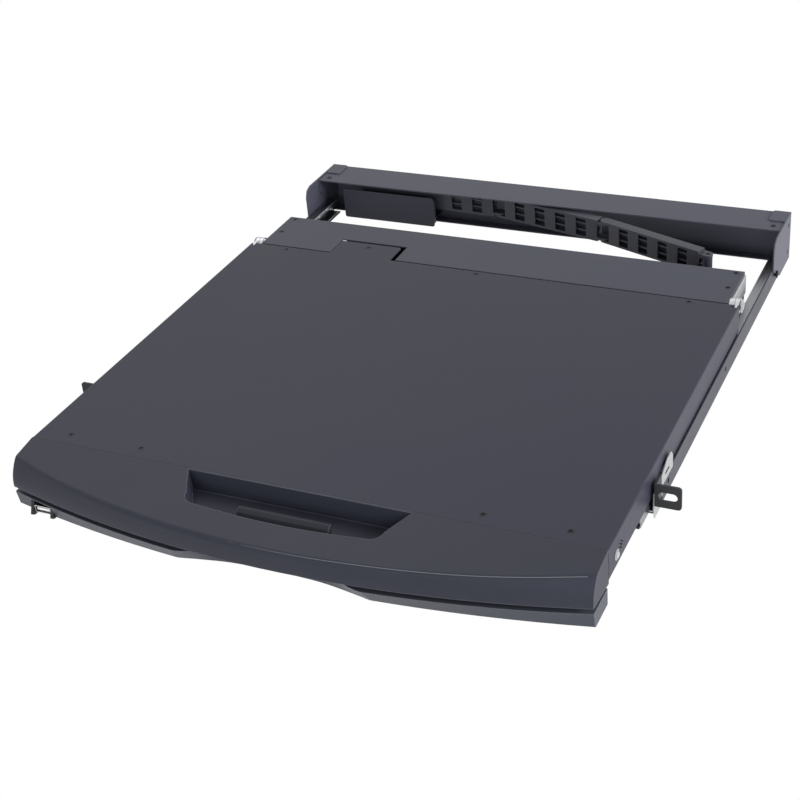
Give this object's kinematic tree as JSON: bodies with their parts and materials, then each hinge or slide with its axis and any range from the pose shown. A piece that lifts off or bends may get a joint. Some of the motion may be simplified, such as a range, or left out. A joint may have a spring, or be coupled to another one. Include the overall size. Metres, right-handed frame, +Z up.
{
  "type": "rack console drawer",
  "caption": "Low pull-out rack drawer with a fold-up flat display over a keyboard and touch pad, telescopic side slides, rack ears and a rear cable carrier.",
  "frame": {"origin": "midway between the two rack-ear slots, on the front faces of the ears", "axes": "+X across the rack to the right seen from the front, +Y to the back of the rack, +Z up"},
  "size_m": [0.4842, 0.5709, 0.0438],
  "materials": {
    "frame_black": "satin black powder coat",
    "ear_black": "satin black paint",
    "zinc": "bright zinc plate",
    "screw_steel": "dark zinc",
    "charcoal_plastic": "fine moulded texture",
    "steel_black": "fine satin powder coat",
    "inner_plastic": "moulded",
    "board": "solder resist",
    "key_plastic": "fine moulded texture",
    "rubber": "matt",
    "screen_glass": "anti-glare",
    "panel": "rolled sheet",
    "bar_plastic": "fine moulded texture",
    "pin_steel": "turned",
    "chain_plastic": "moulded nylon"
  },
  "bodies": {
    "frame": {"rail_left": "frame_black", "rail_right": "frame_black", "rack_ear_left": "ear_black", "rack_ear_right": "ear_black", "ear_brackets": "zinc", "slide_outer_left": "zinc", "slide_outer_right": "zinc", "rear_bridge": "frame_black", "side_plate_left": "frame_black", "side_plate_right": "frame_black", "cable_cover": "frame_black", "frame_screws": "screw_steel"},
    "slide_left": {"slide_middle_left": "zinc"},
    "slide_right": {"slide_middle_right": "zinc"},
    "drawer": {"tray": "frame_black", "front_bezel": "charcoal_plastic", "keyboard_deck": "steel_black", "key_plate": "inner_plastic", "slide_inner_left": "zinc", "slide_inner_right": "zinc", "hinge_bracket_left": "zinc", "hinge_bracket_right": "zinc", "rear_cover": "steel_black", "rear_cover_screws": "screw_steel", "rear_panel": "steel_black", "rear_sockets": "zinc", "main_board": "board", "touch_pad": "key_plastic", "pointer_board": "board", "usb_port": "charcoal_plastic", "usb_socket": "zinc", "chain_bracket": "frame_black"},
    "space_keys": {"keys_space_row": "key_plastic"},
    "lower_keys": {"keys_lower_row": "key_plastic"},
    "home_keys": {"keys_home_row": "key_plastic"},
    "upper_keys": {"keys_upper_row": "key_plastic"},
    "number_keys": {"keys_number_row": "key_plastic"},
    "function_keys": {"keys_function_row": "key_plastic"},
    "number_pad": {"keys_number_pad": "key_plastic"},
    "button_left": {"pointer_button_left": "key_plastic"},
    "button_right": {"pointer_button_right": "key_plastic"},
    "display": {"display_back_cover": "steel_black", "display_bezel": "charcoal_plastic", "display_screws": "screw_steel", "latch_guides": "inner_plastic", "display_frame": "charcoal_plastic", "menu_board": "board", "rubber_stops": "rubber", "screen_glass": "screen_glass", "display_panel": "panel", "driver_board": "board", "hinge_arm_left": "zinc", "hinge_arm_right": "zinc"},
    "release": {"release_bar": "bar_plastic"},
    "peg_left": {"latch_peg_left": "pin_steel"},
    "peg_right": {"latch_peg_right": "pin_steel"},
    "menu": {"menu_buttons": "key_plastic"},
    "chain_front": {"cable_chain_front": "chain_plastic"},
    "chain_middle": {"cable_chain_middle": "chain_plastic"},
    "chain_rear": {"cable_chain_rear": "chain_plastic"}
  },
  "joints": [
    {"name": "drawer_slide", "type": "slide", "parent": "frame", "child": "drawer", "axis": [0, -1, 0], "range_m": [-0.075, 0.325]},
    {"name": "slide_left_run", "type": "slide", "parent": "frame", "child": "slide_left", "axis": [0, -1, 0], "range_m": [-0.0375, 0.1625]},
    {"name": "slide_right_run", "type": "slide", "parent": "frame", "child": "slide_right", "axis": [0, -1, 0], "range_m": [-0.0375, 0.1625]},
    {"name": "display_hinge", "type": "hinge", "parent": "drawer", "child": "display", "pos_m": [0, 0.253, 0.0141], "axis": [-1, 0, 0], "range_deg": [0, 110]},
    {"name": "release_bar_slide", "type": "slide", "parent": "display", "child": "release", "axis": [0, -1, 0], "range_m": [0, 0.005], "stiffness_N_per_m": 400, "springref_m": -0.002},
    {"name": "peg_left_slide", "type": "slide", "parent": "display", "child": "peg_left", "axis": [1, 0, 0], "range_m": [0, 0.0035]},
    {"name": "peg_right_slide", "type": "slide", "parent": "display", "child": "peg_right", "axis": [-1, 0, 0], "range_m": [0, 0.0035]},
    {"name": "menu_press", "type": "slide", "parent": "display", "child": "menu", "axis": [0, 0, 1], "range_m": [0, 0.0005], "stiffness_N_per_m": 800, "springref_m": -0.0006},
    {"name": "space_keys_press", "type": "slide", "parent": "drawer", "child": "space_keys", "axis": [0, 0, -1], "range_m": [0, 0.002], "stiffness_N_per_m": 600, "springref_m": -0.002},
    {"name": "lower_keys_press", "type": "slide", "parent": "drawer", "child": "lower_keys", "axis": [0, 0, -1], "range_m": [0, 0.002], "stiffness_N_per_m": 600, "springref_m": -0.002},
    {"name": "home_keys_press", "type": "slide", "parent": "drawer", "child": "home_keys", "axis": [0, 0, -1], "range_m": [0, 0.002], "stiffness_N_per_m": 600, "springref_m": -0.002},
    {"name": "upper_keys_press", "type": "slide", "parent": "drawer", "child": "upper_keys", "axis": [0, 0, -1], "range_m": [0, 0.002], "stiffness_N_per_m": 600, "springref_m": -0.002},
    {"name": "number_keys_press", "type": "slide", "parent": "drawer", "child": "number_keys", "axis": [0, 0, -1], "range_m": [0, 0.002], "stiffness_N_per_m": 600, "springref_m": -0.002},
    {"name": "function_keys_press", "type": "slide", "parent": "drawer", "child": "function_keys", "axis": [0, 0, -1], "range_m": [0, 0.002], "stiffness_N_per_m": 600, "springref_m": -0.002},
    {"name": "number_pad_press", "type": "slide", "parent": "drawer", "child": "number_pad", "axis": [0, 0, -1], "range_m": [0, 0.002], "stiffness_N_per_m": 600, "springref_m": -0.002},
    {"name": "button_left_press", "type": "slide", "parent": "drawer", "child": "button_left", "axis": [0, 0, -1], "range_m": [0, 0.0008], "stiffness_N_per_m": 600, "springref_m": -0.001},
    {"name": "button_right_press", "type": "slide", "parent": "drawer", "child": "button_right", "axis": [0, 0, -1], "range_m": [0, 0.0008], "stiffness_N_per_m": 600, "springref_m": -0.001},
    {"name": "chain_front_swing", "type": "hinge", "parent": "drawer", "child": "chain_front", "pos_m": [0.172, 0.332, 0.0079], "axis": [0, 0, -1], "range_deg": [-19.5, 82.5]},
    {"name": "chain_middle_bend", "type": "hinge", "parent": "chain_front", "child": "chain_middle", "pos_m": [0.07, 0.37, 0.0079], "axis": [0, 0, -1], "range_deg": [-24.8, 6.2]},
    {"name": "chain_rear_bend", "type": "hinge", "parent": "chain_middle", "child": "chain_rear", "pos_m": [-0.04, 0.397, 0.0079], "axis": [0, 0, -1], "range_deg": [-21, 5.2]}
  ],
  "couplings": [
    {"joint": "slide_left_run", "follows": "drawer_slide", "ratio": 0.5},
    {"joint": "slide_right_run", "follows": "drawer_slide", "ratio": 0.5},
    {"joint": "peg_left_slide", "follows": "release_bar_slide", "ratio": 0.7},
    {"joint": "peg_right_slide", "follows": "release_bar_slide", "ratio": 0.7},
    {"joint": "chain_front_swing", "follows": "drawer_slide", "rad_per_m": 4.4},
    {"joint": "chain_middle_bend", "follows": "drawer_slide", "rad_per_m": -1.3},
    {"joint": "chain_rear_bend", "follows": "drawer_slide", "rad_per_m": -1.1}
  ]
}
